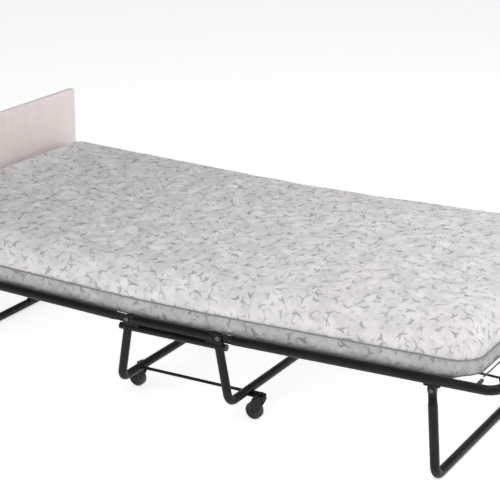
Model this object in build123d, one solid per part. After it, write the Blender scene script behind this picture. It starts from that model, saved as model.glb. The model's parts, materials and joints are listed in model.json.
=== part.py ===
from build123d import *
import math
import os

# Steel-tube rollaway folding cot, open for use.
# Frame: +X towards the foot end, +Y the sleeper's left side rail, +Z up.
# The origin is on the floor below the middle of the whole outline.  Millimetres.
# The deck is two halves.  Each half is hinged on a castered carriage in the
# middle and folds up to vertical.  Each end leg hangs on its deck half and is
# held parallel to the carriage by a link rod, so it folds flat by itself.

# ---------------------------------------------------------------- dimensions
TUBE = 25.0  # main tube outside diameter
WALL = 1.6  # tube wall
W = 508.0  # side rail centre line to the middle of the bed
ZP = 264.0  # height of the deck pivots
PX = {"head": -59.0, "foot": 229.0}  # deck pivots, from the mattress middle
OUT = {"head": -1.0, "foot": 1.0}  # outward direction of each half
TILT = {"head": 2.06, "foot": 0.97}  # upward slope of each deck half, degrees

END = {"head": 873.5, "foot": 780.0}  # end tube centre line, from the pivot
CORNER_R = 36.0  # deck frame bend, centre line
RAIL_START = 46.0  # round tube starts here, inboard of it the end is flattened
CROSS = {"head": (354.0, 604.0), "foot": (350.0, 514.0)}  # deck cross tubes
CROSS_D = 16.0
CROSS_Z = -4.0

LEG_DROP = 27.0  # leg pivot below the rail centre line
LEG_TOP_U = {"head": 709.0, "foot": 611.0}  # leg pivot outward of the deck pivot
LEG_TOP_Z = {"head": 262.5, "foot": 247.3}
LEG_BOT_U = {"head": 726.0, "foot": 628.0}
LEG_R = 32.0  # bend at the floor, centre line

CD = 24.0  # caster leg tube
CL_TOP_U = {"head": 0.0, "foot": 0.0}
CL_BOT_U = {"head": 26.0, "foot": 30.0}
CL_Z = 82.0  # caster crossbar height
CL_R = 27.0

BRIDGE_D = 19.0  # lower bridge rail tube
BRIDGE_Z = ZP - 24.0
BRIDGE_END = 22.0  # overhang past each pivot
TIE_D = 9.0
TIE_Y = 415.0

LINK_D = 7.0
CRANK = {"head": (-2.5, -161.0), "foot": (-2.5, -161.0)}  # pivot to link pivot

PLATE_T = 4.0
TAB_T = 5.0
EAR_GAP = 0.5  # side play of each tab between its ears
PIN_R = 4.0
PLAY = 0.05  # radial running clearance

CASTER_OUT = {"head": 22.0, "foot": 36.0}  # swivel stem outboard of the crossbar
CASTER_Y = {"head": 368.0, "foot": 401.0}
TRAIL = 18.0
WHEEL_R = 25.0
WHEEL_W = 18.0

M_HALF_L = 940.0  # mattress half length
M_HALF_W = 491.0
M_BOT = 13.2  # mattress underside above the rail centre plane
M_TOP = 131.0
M_MID = 50.0  # the part squeezed between the folded halves

PANEL_IN = 889.0  # headboard face, outward of the head pivot
PANEL_T = 16.0
PANEL_BOT = 236.0  # heights from the floor
PANEL_TOP = 600.0
SCREW_R = 3.0
SCREW_HEAD = 6.4  # countersunk head radius
PANEL_HALF_W = 507.0
BAND_T = 2.0

WIRE_D = 4.0
WIRE_Y = 440.0  # side wire of the spring deck
WIRE_Z = 6.6  # cross wires above the rail centre plane
SPRING_Z = 0.6
SPRING_D = 11.0

# shift that puts the middle of the whole outline on the origin
X_FOOT = PX["foot"] + END["foot"] * math.cos(math.radians(TILT["foot"])) + TUBE / 2
X_HEAD = PX["head"] - PANEL_IN - PANEL_T
SX = -(X_FOOT + X_HEAD) / 2

os.makedirs("parts", exist_ok=True)
ends = ("head", "foot")
sides = {"right": -1.0, "left": 1.0}


# ------------------------------------------------------------------- helpers
def solids_of(shape):
    if isinstance(shape, (list, tuple)):
        out = []
        for s in shape:
            out += solids_of(s)
        return out
    return list(shape.solids())


def save(name, shape):
    found = solids_of(shape)
    moved = [Pos(SX, 0, 0) * s for s in found]
    body = moved[0] if len(moved) == 1 else Compound(children=moved)
    export_step(body, "parts/" + name + ".step")


def on_deck(shape, end):
    """Deck frame (x outward from the pivot, z up from the rail centre plane) to the bed."""
    out = []
    for s in solids_of(shape):
        s = s.rotate(Axis.Y, -TILT[end])
        if end == "head":
            s = s.mirror(Plane.YZ)
        out.append(Pos(PX[end], 0, ZP) * s)
    return out


def level(shape, end):
    """Same, without the slope: x outward from the pivot, z from the floor."""
    out = []
    for s in solids_of(shape):
        if end == "head":
            s = s.mirror(Plane.YZ)
        out.append(Pos(PX[end], 0, 0) * s)
    return out


def rod(a, b, r):
    """Solid bar between two points."""
    a, b = Vector(*a), Vector(*b)
    d = b - a
    return extrude(Plane(origin=a, z_dir=d) * Circle(r), amount=d.length)


def pipe(a, b, r, wall=WALL):
    a, b = Vector(*a), Vector(*b)
    d = b - a
    return extrude(Plane(origin=a, z_dir=d) * (Circle(r) - Circle(r - wall)), amount=d.length)


def bent_pipe(points, radius, r, wall=WALL):
    """Round tube along straight runs joined by bends."""
    path = FilletPolyline(*points, radius=radius)
    start = Plane(origin=path @ 0, z_dir=path % 0)
    outer = sweep(start * Circle(r), path=path)
    inner = sweep(start * Circle(r - wall), path=path)
    return outer - inner


def flat_end(eye, toward, r, hole, start=40.0):
    """Pressed-flat tube end: an eye at `eye`, the round tube `start` away along `toward`."""
    e = Vector(*eye)
    d = Vector(*toward).normalized()
    y = Vector(0, 1, 0)
    n = d.cross(y)
    # plate with the eye
    pl = Plane(origin=e, x_dir=d, z_dir=y)
    half = r - 1.5
    run = start - 12.0
    shape = Circle(half) + Pos(run / 2, 0) * Rectangle(run, 2 * half) - Circle(hole)
    plate = extrude(pl * shape, amount=TAB_T / 2, both=True)
    # pressed transition from round to flat
    a = Plane(origin=e + d * start, x_dir=n, z_dir=d) * Circle(r)
    b = Plane(origin=e + d * (start - 22.0), x_dir=n, z_dir=d) * Ellipse(half + 0.3, TAB_T / 2 + 0.4)
    swell = loft([a, b])
    return plate + swell


def ear_pair(outline, y0, gap):
    """Two plates either side of the rail line at y0, drawn in the X-Z plane."""
    out = []
    for s in (-1, 1):
        yc = y0 + s * (gap / 2 + PLATE_T / 2)
        pl = Plane(origin=(0, yc, 0), x_dir=(1, 0, 0), z_dir=(0, -1, 0))
        out.append(extrude(pl * outline, amount=PLATE_T / 2, both=True))
    return out


def rivet(x, y, z, half, head_r=7.0, head_t=2.6, r=PIN_R):
    """Pivot rivet along Y with a low domed head at each end."""
    shank = rod((x, y - half, z), (x, y + half, z), r)
    heads = []
    for s in (-1, 1):
        base = Plane(origin=(x, y + s * half, z), z_dir=(0, s, 0))
        head = extrude(base * Circle(head_r), amount=head_t)
        rim = head.edges().filter_by(GeomType.CIRCLE).sort_by(Axis.Y)
        rim = rim[-1] if s > 0 else rim[0]
        heads.append(fillet([rim], head_t * 0.75))
    return shank + heads[0] + heads[1]


def wire_grid(first, last, xs, z):
    """Welded ladder of wire: cross wires below, running wires laid over them."""
    over = z + 2.5
    grid = rod((first - 8, -WIRE_Y, over), (last + 8, -WIRE_Y, over), WIRE_D / 2)
    cross = [rod((x, -WIRE_Y - 6, z), (x, WIRE_Y + 6, z), WIRE_D / 2) for x in xs]
    running = [rod((first - 8, y, over), (last + 8, y, over), WIRE_D / 2) for y in (-300.0, -150.0, 0.0, 150.0, 300.0, WIRE_Y)]
    return grid.fuse(*cross, *running)


GAP = TAB_T + 2 * EAR_GAP

# ----------------------------------------------------------- carriage (root)
for end in ends:
    # splayed U leg that carries two casters
    top_u = CL_TOP_U[end]
    bot_u = CL_BOT_U[end]
    tz = BRIDGE_Z
    pts = [
        (top_u, -W, tz),
        (bot_u, -W, CL_Z),
        (bot_u, W, CL_Z),
        (top_u, W, tz),
    ]
    leg = bent_pipe(pts, CL_R, CD / 2)
    rails = [rod((-40 - 300, s * W, BRIDGE_Z), (120, s * W, BRIDGE_Z), BRIDGE_D / 2) for s in (-1, 1)]
    cutter = Pos(0, 0, tz + 20) * Box(200, 1200, 40)
    leg = leg - rails[0] - rails[1] - cutter
    leg = max(solids_of(leg), key=lambda q: q.volume)
    save("caster_leg_" + end, level(leg, end))

for side, s in sides.items():
    y = s * W
    # lower bridge rail and the deck-level rail above it
    x0, x1 = PX["head"] - BRIDGE_END, PX["foot"] + BRIDGE_END
    save("bridge_rail_" + side, pipe((x0, y, BRIDGE_Z), (x1, y, BRIDGE_Z), BRIDGE_D / 2))
    save(
        "centre_rail_" + side,
        pipe((PX["head"] + 20, y, ZP), (PX["foot"] - 20, y, ZP), TUBE / 2),
    )

small_plugs, large_plugs = [], []
for s in (-1, 1):
    for end in ends:
        x = PX[end] + OUT[end] * BRIDGE_END
        o = OUT[end]
        cap = extrude(Plane(origin=(x, s * W, BRIDGE_Z), z_dir=(o, 0, 0)) * Circle(BRIDGE_D / 2), amount=2.5)
        stem = extrude(
            Plane(origin=(x, s * W, BRIDGE_Z), z_dir=(-o, 0, 0)) * Circle(BRIDGE_D / 2 - WALL), amount=10
        )
        small_plugs.append(cap + stem)
        # plug in the open end of the deck-level rail
        x = PX[end] - o * 20.0
        cap = extrude(Plane(origin=(x, s * W, ZP), z_dir=(o, 0, 0)) * Circle(TUBE / 2), amount=2.0)
        stem = extrude(Plane(origin=(x, s * W, ZP), z_dir=(-o, 0, 0)) * Circle(TUBE / 2 - WALL), amount=10)
        large_plugs.append(cap + stem)
save("bridge_rail_plugs", small_plugs)
save("centre_rail_plugs", large_plugs)

pivots = []
for end in ends:
    o = OUT[end]
    x = PX[end] - o * 34.0
    save(
        "bridge_cross_tube_" + end,
        pipe((x, -W + BRIDGE_D / 2, BRIDGE_Z), (x, W - BRIDGE_D / 2, BRIDGE_Z), BRIDGE_D / 2)
        - rod((x - 60, -W, BRIDGE_Z), (x + 60, -W, BRIDGE_Z), BRIDGE_D / 2)
        - rod((x - 60, W, BRIDGE_Z), (x + 60, W, BRIDGE_Z), BRIDGE_D / 2),
    )
    # hinge ears: stand on the bridge rail, clasp the deck-level rail, hold the deck pivot
    ears = []
    for s in (-1, 1):
        y = s * W
        outline = (
            Pos(0, ZP) * Circle(12.0)
            + Pos(-17, ZP) * Rectangle(34, 24)
            + Pos(-13, (ZP + BRIDGE_Z) / 2 - 2) * Rectangle(50, ZP - BRIDGE_Z + 4)
            - Pos(0, ZP) * Circle(PIN_R + PLAY)
        )
        pair = ear_pair(outline, y, GAP)
        for p in pair:
            p = p - rod((-400, y, BRIDGE_Z), (60, y, BRIDGE_Z), BRIDGE_D / 2)
            p = p - rod((-400, y, ZP), (-18.0, y, ZP), TUBE / 2)
            ears.append(max(solids_of(p), key=lambda q: q.volume))
    save("deck_hinge_ears_" + end, level(ears, end))
    pins = [rivet(0, s * W, ZP, GAP / 2 + PLATE_T + 0.2) for s in (-1, 1)]
    pivots += level(pins, end)

save("deck_pivot_rivets", pivots)

for side, s in sides.items():
    y = s * TIE_Y
    a = (PX["head"] - CL_BOT_U["head"] + CD / 2 - 1.5, y, CL_Z)
    b = (PX["foot"] + CL_BOT_U["foot"] - CD / 2 + 1.5, y, CL_Z)
    bar = rod(a, b, TIE_D / 2)
    for end in ends:
        x = PX[end] + OUT[end] * CL_BOT_U[end]
        bar = bar - rod((x, -W + 60, CL_Z), (x, W - 60, CL_Z), CD / 2)
    save("tie_rod_" + side, max(solids_of(bar), key=lambda q: q.volume))

link_pins = []
for end in ends:
    # lug under the crossbar for the link rod
    du, dz = CRANK[end]
    qu, qz = du, ZP + dz
    cu = CL_BOT_U[end]
    d = Vector(cu - qu, 0, CL_Z - qz)
    ln = d.length
    ang = math.degrees(math.atan2(CL_Z - qz, cu - qu))
    outline = (
        Circle(8.5)
        + Pos(ln / 2, 0) * Rectangle(ln, 17)
        - Circle(3.0 + PLAY)
    )
    outline = Pos(qu, qz) * Rot(0, 0, ang) * outline
    lug = []
    for p in ear_pair(outline, 0.0, 10.0):
        p = p - rod((cu, -40, CL_Z), (cu, 40, CL_Z), CD / 2)
        lug.append(min(solids_of(p), key=lambda q: q.center().Z))
    save("link_lug_" + end, level(lug, end))
    link_pins += level(rivet(qu, 0, qz, 9.2, head_r=5.5, head_t=2.0, r=3.0), end)
save("link_pins", link_pins)

plates = []
for end in ends:
    for s in (-1, 1):
        cu = CL_BOT_U[end]
        su = cu + CASTER_OUT[end]
        yc = s * CASTER_Y[end]
        pl = Plane(origin=(0, 0, 70.0))
        shape = (
            Pos(su, yc) * Circle(17.0)
            + Pos((cu + su) / 2, yc) * Rectangle(CASTER_OUT[end], 34)
            - Pos(su, yc) * Circle(5.0 + PLAY)
        )
        plate = extrude(pl * shape, amount=PLATE_T)
        # gusset up the outer side of the crossbar
        side_face = Plane(origin=(0, yc, 0), x_dir=(1, 0, 0), z_dir=(0, -1, 0))
        foot_u = min(cu + 20, su - 10.5)  # stops short of the stem nut
        rib = make_face(Polyline((cu + 8, 73.5), (foot_u, 73.5), (cu + 11.0, 86.0), (cu + 8, 86.0), close=True))
        g = extrude(side_face * rib, amount=1.5, both=True)
        plate = (plate + g) - rod((cu, yc - 40, CL_Z), (cu, yc + 40, CL_Z), CD / 2)
        plates += level(max(solids_of(plate), key=lambda q: q.volume), end)
save("caster_plates", plates)

# ---------------------------------------------------------------- deck halves
for end in ends:
    e = END[end]
    pts = [(RAIL_START, -W, 0), (e, -W, 0), (e, W, 0), (RAIL_START, W, 0)]
    frame = bent_pipe(pts, CORNER_R, TUBE / 2)
    for s in (-1, 1):
        frame = frame + flat_end((0, s * W, 0), (1, 0, 0), TUBE / 2, PIN_R + PLAY, start=RAIL_START)
    save("deck_frame_" + end, on_deck(frame, end))

    bars = []
    for x in CROSS[end]:
        bar = pipe((x, -W + 6, CROSS_Z), (x, W - 6, CROSS_Z), CROSS_D / 2, 1.4)
        for s in (-1, 1):
            bar = bar - rod((x - 40, s * W, 0), (x + 40, s * W, 0), TUBE / 2)
        bars.append(max(solids_of(bar), key=lambda q: q.volume))
    save("deck_cross_tubes_" + end, on_deck(bars, end))

    # leg hinge ears under each rail, in the deck frame
    au, az = LEG_TOP_U[end], LEG_TOP_Z[end] - ZP
    t = math.radians(TILT[end])
    ax = au * math.cos(t) + az * math.sin(t)
    azl = -au * math.sin(t) + az * math.cos(t)
    ears = []
    for s in (-1, 1):
        y = s * W
        outline = (
            Pos(ax, azl) * Circle(11.0)
            + Pos(ax, azl / 2 - 2) * Rectangle(22, -azl - 4)
            + Pos(ax, azl / 2 + 3) * Rectangle(44, -azl - 16)
            - Pos(ax, azl) * Circle(PIN_R + PLAY)
        )
        for p in ear_pair(outline, y, GAP):
            p = p - rod((ax - 60, y, 0), (ax + 60, y, 0), TUBE / 2)
            ears.append(min(solids_of(p), key=lambda q: q.center().Z))
    save("leg_hinge_ears_" + end, on_deck(ears, end))
    pins = [rivet(ax, s * W, azl, GAP / 2 + PLATE_T + 0.2) for s in (-1, 1)]
    save("leg_pivot_rivets_" + end, on_deck(pins, end))

    # spring deck: wire ladder, hooked to the side rails by helical springs
    first, last, n = (62.0, e - 60.0, 10) if end == "head" else (62.0, e - 60.0, 9)
    xs = [first + (last - first) * i / (n - 1) for i in range(n)]
    grid = wire_grid(first, last, xs, WIRE_Z)
    save("spring_deck_" + end, on_deck(grid, end))
    coils = []
    for x in xs:
        for s in (-1, 1):
            coils.append(rod((x, s * (WIRE_Y + 6.5), SPRING_Z), (x, s * (W - TUBE / 2 - 3.0), SPRING_Z), SPRING_D / 2))
    save("deck_springs_" + end, on_deck(coils, end))

# centre section of the spring deck, on the carriage
first, last = PX["head"] + 26.0, PX["foot"] - 26.0
xs = [first + (last - first) * i / 3 for i in range(4)]
zc = ZP + WIRE_Z
grid = wire_grid(first, last, xs, zc)
save("spring_deck_centre", grid)
coils = []
for x in xs:
    for s in (-1, 1):
        coils.append(rod((x, s * (WIRE_Y + 6.5), ZP + SPRING_Z), (x, s * (W - TUBE / 2 - 3.0), ZP + SPRING_Z), SPRING_D / 2))
save("deck_springs_centre", coils)

# ------------------------------------------------------------------ end legs
for end in ends:
    au, az = LEG_TOP_U[end], LEG_TOP_Z[end]
    bu = LEG_BOT_U[end]
    bz = TUBE / 2
    d = Vector(bu - au, 0, bz - az).normalized()
    start = 40.0
    t0 = Vector(au, 0, az) + d * start
    pts = [
        (t0.X, -W, t0.Z),
        (bu, -W, bz),
        (bu, W, bz),
        (t0.X, W, t0.Z),
    ]
    leg = bent_pipe(pts, LEG_R, TUBE / 2)
    for s in (-1, 1):
        leg = leg + flat_end((au, s * W, az), (d.X, 0, d.Z), TUBE / 2, PIN_R + PLAY, start=start)
    save("leg_loop_" + end, level(leg, end))

    # lug on the floor bar for the link rod
    cu, cz = CRANK[end]
    lu, lz = au + cu, az + cz
    ln = math.hypot(bu - lu, bz - lz)
    ang = math.degrees(math.atan2(bz - lz, bu - lu))
    outline = Circle(8.5) + Pos(ln / 2, 0) * Rectangle(ln, 17) - Circle(3.0 + PLAY)
    outline = Pos(lu, lz) * Rot(0, 0, ang) * outline
    lug = []
    for p in ear_pair(outline, 0.0, 10.0):
        p = p - rod((bu, -40, bz), (bu, 40, bz), TUBE / 2)
        lug.append(max(solids_of(p), key=lambda q: q.center().Z))
    save("leg_link_lug_" + end, level(lug, end))
    save("leg_link_pin_" + end, level(rivet(lu, 0, lz, 9.2, head_r=5.5, head_t=2.0, r=3.0), end))

    # link rod, an eye at each end
    q = Vector(cu, 0, ZP + cz)
    b = Vector(lu, 0, lz)
    dd = (b - q).normalized()
    link = rod(tuple(q + dd * 6), tuple(b - dd * 6), LINK_D / 2)
    for c in (q, b):
        link = link + rod((c.X, -4.7, c.Z), (c.X, 4.7, c.Z), 7.5)
    for c in (q, b):
        link = link - rod((c.X, -6, c.Z), (c.X, 6, c.Z), 3.0 + PLAY)
    save("link_rod_" + end, level(link, end))

# ------------------------------------------------------------------- casters
for end in ends:
    for side, s in sides.items():
        xs_ = PX[end] + OUT[end] * (CL_BOT_U[end] + CASTER_OUT[end])
        yc = s * CASTER_Y[end]
        xa = xs_ - TRAIL
        crown = extrude(Plane(origin=(xs_, yc, 63.0)) * Circle(16.0), amount=6.5)
        stem = rod((xs_, yc, 66.0), (xs_, yc, 77.5), 5.0)
        nut = extrude(Plane(origin=(xs_, yc, 74.4)) * RegularPolygon(8.5, 6), amount=5.0)
        fork = crown + stem + nut
        deckp = extrude(Plane(origin=(xs_ - 3, yc, 60.0)) * RectangleRounded(34, 29, 4), amount=3.0)
        fork = fork + deckp
        for k in (-1, 1):
            outline = make_face(
                Polyline(
                    (xs_ - 20, 61.0),
                    (xs_ + 12, 61.0),
                    (xs_ + 8, 50.0),
                    (xa + 9, 22.0),
                    (xa - 9, 22.0),
                    (xs_ - 22, 50.0),
                    close=True,
                )
            )
            outline = outline + Pos(xa, 25.0) * Circle(9.0) - Pos(xa, 25.0) * Circle(3.0 + PLAY)
            pl = Plane(origin=(0, yc + k * 13.0, 0), x_dir=(1, 0, 0), z_dir=(0, -1, 0))
            fork = fork + extrude(pl * outline, amount=1.25, both=True)
        name = "caster_" + end + "_" + side
        save(name + "_fork", fork)

        wheel = rod((xa, yc - WHEEL_W / 2, WHEEL_R), (xa, yc + WHEEL_W / 2, WHEEL_R), WHEEL_R)
        rims = [g for g in wheel.edges().filter_by(GeomType.CIRCLE)]
        wheel = fillet(rims, 3.5)
        for k in (-1, 1):
            dish = Plane(origin=(xa, yc + k * WHEEL_W / 2, WHEEL_R), z_dir=(0, -k, 0))
            wheel = wheel - extrude(dish * (Circle(18.0) - Circle(8.0)), amount=2.5)
            wheel = wheel + rod((xa, yc, WHEEL_R), (xa, yc + k * 11.2, WHEEL_R), 7.0)
        wheel = wheel - rod((xa, yc - 14, WHEEL_R), (xa, yc + 14, WHEEL_R), 3.0 + PLAY)
        save(name + "_wheel", wheel)
        save(name + "_axle", rivet(xa, yc, WHEEL_R, 14.45, head_r=5.0, head_t=2.0, r=3.0))

# ----------------------------------------------------------------- headboard
hh = PANEL_TOP - PANEL_BOT
panel_face = Plane(origin=(PANEL_IN, 0, PANEL_BOT + hh / 2), x_dir=(0, 1, 0), z_dir=(1, 0, 0))
outer = RectangleRounded(2 * PANEL_HALF_W, hh, 5.0)
core = RectangleRounded(2 * (PANEL_HALF_W - BAND_T), hh - 2 * BAND_T, 3.0)
slab = extrude(panel_face * outer, amount=PANEL_T)
rim = slab.edges().filter_by(GeomType.LINE).filter_by(Axis.X, reverse=True) + slab.edges().filter_by(GeomType.CIRCLE)
slab = fillet(rim, 1.6)
panel = extrude(panel_face * core, amount=PANEL_T)
band = slab - extrude(panel_face * core, amount=PANEL_T)
tube_z = ZP + END["head"] * math.sin(math.radians(TILT["head"]))  # head end tube
straps, screws = [], []
for s in (-1, 1):
    y = s * 300.0
    strap = Pos(PANEL_IN - 1.5, y, tube_z + 42.0) * Box(3.0, 40.0, 108.0)
    for z in (tube_z + 32.0, tube_z + 80.0):
        bore = rod((PANEL_IN - 10, y, z), (PANEL_IN + PANEL_T + 10, y, z), SCREW_R + PLAY)
        strap = strap - bore
        panel = panel - bore
        out_face = PANEL_IN + PANEL_T
        sink = Plane(origin=(out_face - 2.0, y, z), z_dir=(1, 0, 0)) * Cone(SCREW_R + PLAY, SCREW_HEAD + PLAY, 4.0)
        panel = panel - sink
        rim_r = SCREW_R + (SCREW_HEAD - SCREW_R) * 3.8 / 4.0
        head = Plane(origin=(out_face - 2.1, y, z), z_dir=(1, 0, 0)) * Cone(SCREW_R, rim_r, 3.8)
        shank = rod((PANEL_IN - 5.0, y, z), (out_face - 1.0, y, z), SCREW_R)
        drive = Plane(origin=(out_face - 0.2, y, z), z_dir=(-1, 0, 0))
        slots = extrude(drive * (Rectangle(7.0, 1.2) + Rectangle(1.2, 7.0)), amount=1.6)
        nut = extrude(Plane(origin=(PANEL_IN - 3.1, y, z), z_dir=(-1, 0, 0)) * RegularPolygon(5.8, 6), amount=4.0)
        screws.append(shank + head + nut - slots)
    straps.append(strap)
save("headboard_panel", level(panel, "head"))
save("headboard_edge_band", level(band, "head"))
save("headboard_straps", level(straps, "head"))
save("headboard_screws", level(screws, "head"))


# ------------------------------------------------------------------ mattress
def cushion(x0, x1, z0, z1, far_end):
    block = Pos((x0 + x1) / 2, 0, (z0 + z1) / 2) * Box(x1 - x0, 2 * M_HALF_W, z1 - z0)
    if far_end:
        upright = block.edges().filter_by(Axis.Z).group_by(Axis.X)[-1]
        block = fillet(upright, 60.0)
    return block


head_len = M_HALF_L + PX["head"]
foot_len = M_HALF_L - PX["foot"]
save("mattress_head", on_deck(cushion(65.0, head_len, M_BOT, M_TOP, True), "head"))
save("mattress_foot", on_deck(cushion(65.0, foot_len, M_BOT, M_TOP, True), "foot"))
mid = Pos((PX["head"] + PX["foot"]) / 2, 0, ZP + (M_BOT + M_MID) / 2) * Box(
    PX["foot"] - PX["head"] - 30.0, 2 * M_HALF_W, M_MID - M_BOT
)
save("mattress_centre", mid)
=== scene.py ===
import json
import math

import bmesh
import bpy
import numpy as np
from mathutils import Matrix, Vector


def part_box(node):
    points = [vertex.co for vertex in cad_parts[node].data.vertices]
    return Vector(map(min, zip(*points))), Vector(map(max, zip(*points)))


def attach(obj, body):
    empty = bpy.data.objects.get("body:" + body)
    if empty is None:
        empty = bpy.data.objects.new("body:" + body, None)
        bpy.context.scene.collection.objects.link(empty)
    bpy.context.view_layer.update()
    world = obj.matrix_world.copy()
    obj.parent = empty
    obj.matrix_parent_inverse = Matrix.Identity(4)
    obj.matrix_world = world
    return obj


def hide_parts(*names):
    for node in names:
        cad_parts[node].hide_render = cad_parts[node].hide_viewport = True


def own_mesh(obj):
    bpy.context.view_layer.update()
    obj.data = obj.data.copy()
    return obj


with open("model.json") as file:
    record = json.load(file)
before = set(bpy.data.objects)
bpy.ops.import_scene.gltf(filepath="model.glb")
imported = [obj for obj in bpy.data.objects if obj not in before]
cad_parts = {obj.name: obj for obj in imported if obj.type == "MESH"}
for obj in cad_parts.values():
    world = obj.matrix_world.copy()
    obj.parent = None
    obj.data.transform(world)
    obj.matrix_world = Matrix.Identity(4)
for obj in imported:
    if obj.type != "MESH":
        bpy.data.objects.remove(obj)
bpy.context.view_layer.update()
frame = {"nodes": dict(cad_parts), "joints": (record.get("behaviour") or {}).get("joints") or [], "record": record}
nodes = frame["nodes"]
joints = {j["name"]: j for j in frame["joints"]}
col = bpy.context.scene.collection

# ------------------------------------------------------------- key positions
PH = Vector(joints["head_fold"]["pos_m"])  # head deck pivot
PF = Vector(joints["foot_fold"]["pos_m"])  # foot deck pivot
m_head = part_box("mattress_head")
m_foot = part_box("mattress_foot")
XH = m_head[0].x  # mattress ends
XF = m_foot[1].x
MW = 0.4915  # mattress half width at the tapes
RISE_H = math.tan(math.radians(2.06))  # slope of each deck half
RISE_F = math.tan(math.radians(0.97))
Z_TOP = PH.z + 0.1480
QA, QB, QW = 52.0, 31.0, 1.5  # quilt stitching figure: pitch, wander and depth of the waves


# ================================================================= materials
def new_mat(name):
    m = bpy.data.materials.new(name)
    m.use_nodes = True
    nt = m.node_tree
    nt.nodes.clear()
    out = nt.nodes.new("ShaderNodeOutputMaterial")
    bsdf = nt.nodes.new("ShaderNodeBsdfPrincipled")
    nt.links.new(bsdf.outputs[0], out.inputs[0])
    return m, nt, bsdf


class Net:
    """Small helper to build node graphs."""

    def __init__(self, nt):
        self.nt = nt
        self.coord = None

    def node(self, kind, **props):
        n = self.nt.nodes.new(kind)
        for k, v in props.items():
            setattr(n, k, v)
        return n

    def link(self, a, b):
        self.nt.links.new(a, b)
        return b

    def obj(self):
        if self.coord is None:
            self.coord = self.node("ShaderNodeTexCoord").outputs["Object"]
        return self.coord

    def mapping(self, scale=(1, 1, 1), loc=(0, 0, 0), rot=(0, 0, 0), src=None):
        n = self.node("ShaderNodeMapping")
        n.inputs["Scale"].default_value = scale
        n.inputs["Location"].default_value = loc
        n.inputs["Rotation"].default_value = rot
        self.link(src or self.obj(), n.inputs["Vector"])
        return n.outputs[0]

    def noise(self, scale, detail=3.0, rough=0.5, src=None, dist=0.0, out="Fac"):
        n = self.node("ShaderNodeTexNoise")
        n.inputs["Scale"].default_value = scale
        n.inputs["Detail"].default_value = detail
        n.inputs["Roughness"].default_value = rough
        n.inputs["Distortion"].default_value = dist
        self.link(src or self.obj(), n.inputs["Vector"])
        return n.outputs[out]

    def math(self, op, a, b=0.0, c=None, clamp=False):
        n = self.node("ShaderNodeMath", operation=op, use_clamp=clamp)
        for i, v in enumerate((a, b, c)):
            if v is None:
                continue
            if isinstance(v, (int, float)):
                n.inputs[i].default_value = v
            else:
                self.link(v, n.inputs[i])
        return n.outputs[0]

    def ramp(self, fac, stops, mode="LINEAR"):
        n = self.node("ShaderNodeValToRGB")
        n.color_ramp.interpolation = mode
        els = n.color_ramp.elements
        while len(els) < len(stops):
            els.new(0.5)
        for e, (p, c) in zip(els, stops):
            e.position = p
            e.color = (c, c, c, 1) if isinstance(c, (int, float)) else (*c, 1)
        self.link(fac, n.inputs[0])
        return n.outputs[0]

    def mix(self, fac, a, b, blend="MIX"):
        n = self.node("ShaderNodeMix", data_type="RGBA", blend_type=blend)
        for sock, v in ((n.inputs["Factor"], fac), (n.inputs["A"], a), (n.inputs["B"], b)):
            if isinstance(v, (int, float)):
                sock.default_value = v
            elif isinstance(v, tuple):
                sock.default_value = (*v, 1)
            else:
                self.link(v, sock)
        # the colour sockets share names with the float ones: pick them by type
        return [o for o in n.outputs if o.type == "RGBA"][0]

    def mixc(self, fac, a, b, blend="MIX"):
        n = self.node("ShaderNodeMix", data_type="RGBA", blend_type=blend)
        fs = [s for s in n.inputs if s.type == "VALUE" and s.name == "Factor"][0]
        ca = [s for s in n.inputs if s.type == "RGBA" and s.name == "A"][0]
        cb = [s for s in n.inputs if s.type == "RGBA" and s.name == "B"][0]
        for sock, v in ((fs, fac), (ca, a), (cb, b)):
            if isinstance(v, (int, float)):
                sock.default_value = v if sock is fs else (v, v, v, 1)
            elif isinstance(v, tuple):
                sock.default_value = (*v, 1)
            else:
                self.link(v, sock)
        return [o for o in n.outputs if o.type == "RGBA"][0]

    def bump(self, height, strength, distance, normal=None):
        n = self.node("ShaderNodeBump")
        n.inputs["Strength"].default_value = strength
        n.inputs["Distance"].default_value = distance
        self.link(height, n.inputs["Height"])
        if normal is not None:
            self.link(normal, n.inputs["Normal"])
        return n.outputs[0]


def enamel(name, base=(0.0075, 0.0075, 0.008), gloss=0.36):
    """Black stoved enamel on tube: faint orange peel, dust, rubbed lighter patches."""
    m, nt, b = new_mat(name)
    g = Net(nt)
    worn = g.noise(9.0, 4.0, 0.6)
    worn = g.ramp(worn, [(0.42, 0.0), (0.75, 1.0)])
    col_ = g.mixc(worn, base, tuple(min(1.0, c * 1.7 + 0.002) for c in base))
    specks = g.ramp(g.noise(420.0, 2.0, 0.5), [(0.72, 0.0), (0.78, 1.0)])
    dust = g.math("MULTIPLY", specks, 0.18)
    col_ = g.mixc(dust, col_, (0.06, 0.06, 0.06))
    g.link(col_, b.inputs["Base Color"])
    r = g.math("MULTIPLY_ADD", g.noise(30.0, 4.0, 0.6), 0.20, gloss - 0.08)
    g.link(r, b.inputs["Roughness"])
    b.inputs["IOR"].default_value = 1.45
    b.inputs["Specular IOR Level"].default_value = 0.22
    peel = g.noise(260.0, 2.0, 0.5)
    g.link(g.bump(peel, 0.10, 0.0005), b.inputs["Normal"])
    return m


def steel(name, base, rough, scale=60.0, metallic=1.0):
    m, nt, b = new_mat(name)
    g = Net(nt)
    n1 = g.noise(scale, 5.0, 0.65)
    g.link(g.mixc(g.ramp(n1, [(0.35, 0.0), (0.7, 1.0)]), base, tuple(c * 0.62 for c in base)), b.inputs["Base Color"])
    b.inputs["Metallic"].default_value = metallic
    g.link(g.math("MULTIPLY_ADD", g.noise(scale * 2.3, 4.0, 0.6), 0.25, rough - 0.1), b.inputs["Roughness"])
    fine = g.noise(900.0, 2.0, 0.5, src=g.mapping((1, 1, 0.25)))
    g.link(g.bump(fine, 0.15, 0.0002), b.inputs["Normal"])
    return m


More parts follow.
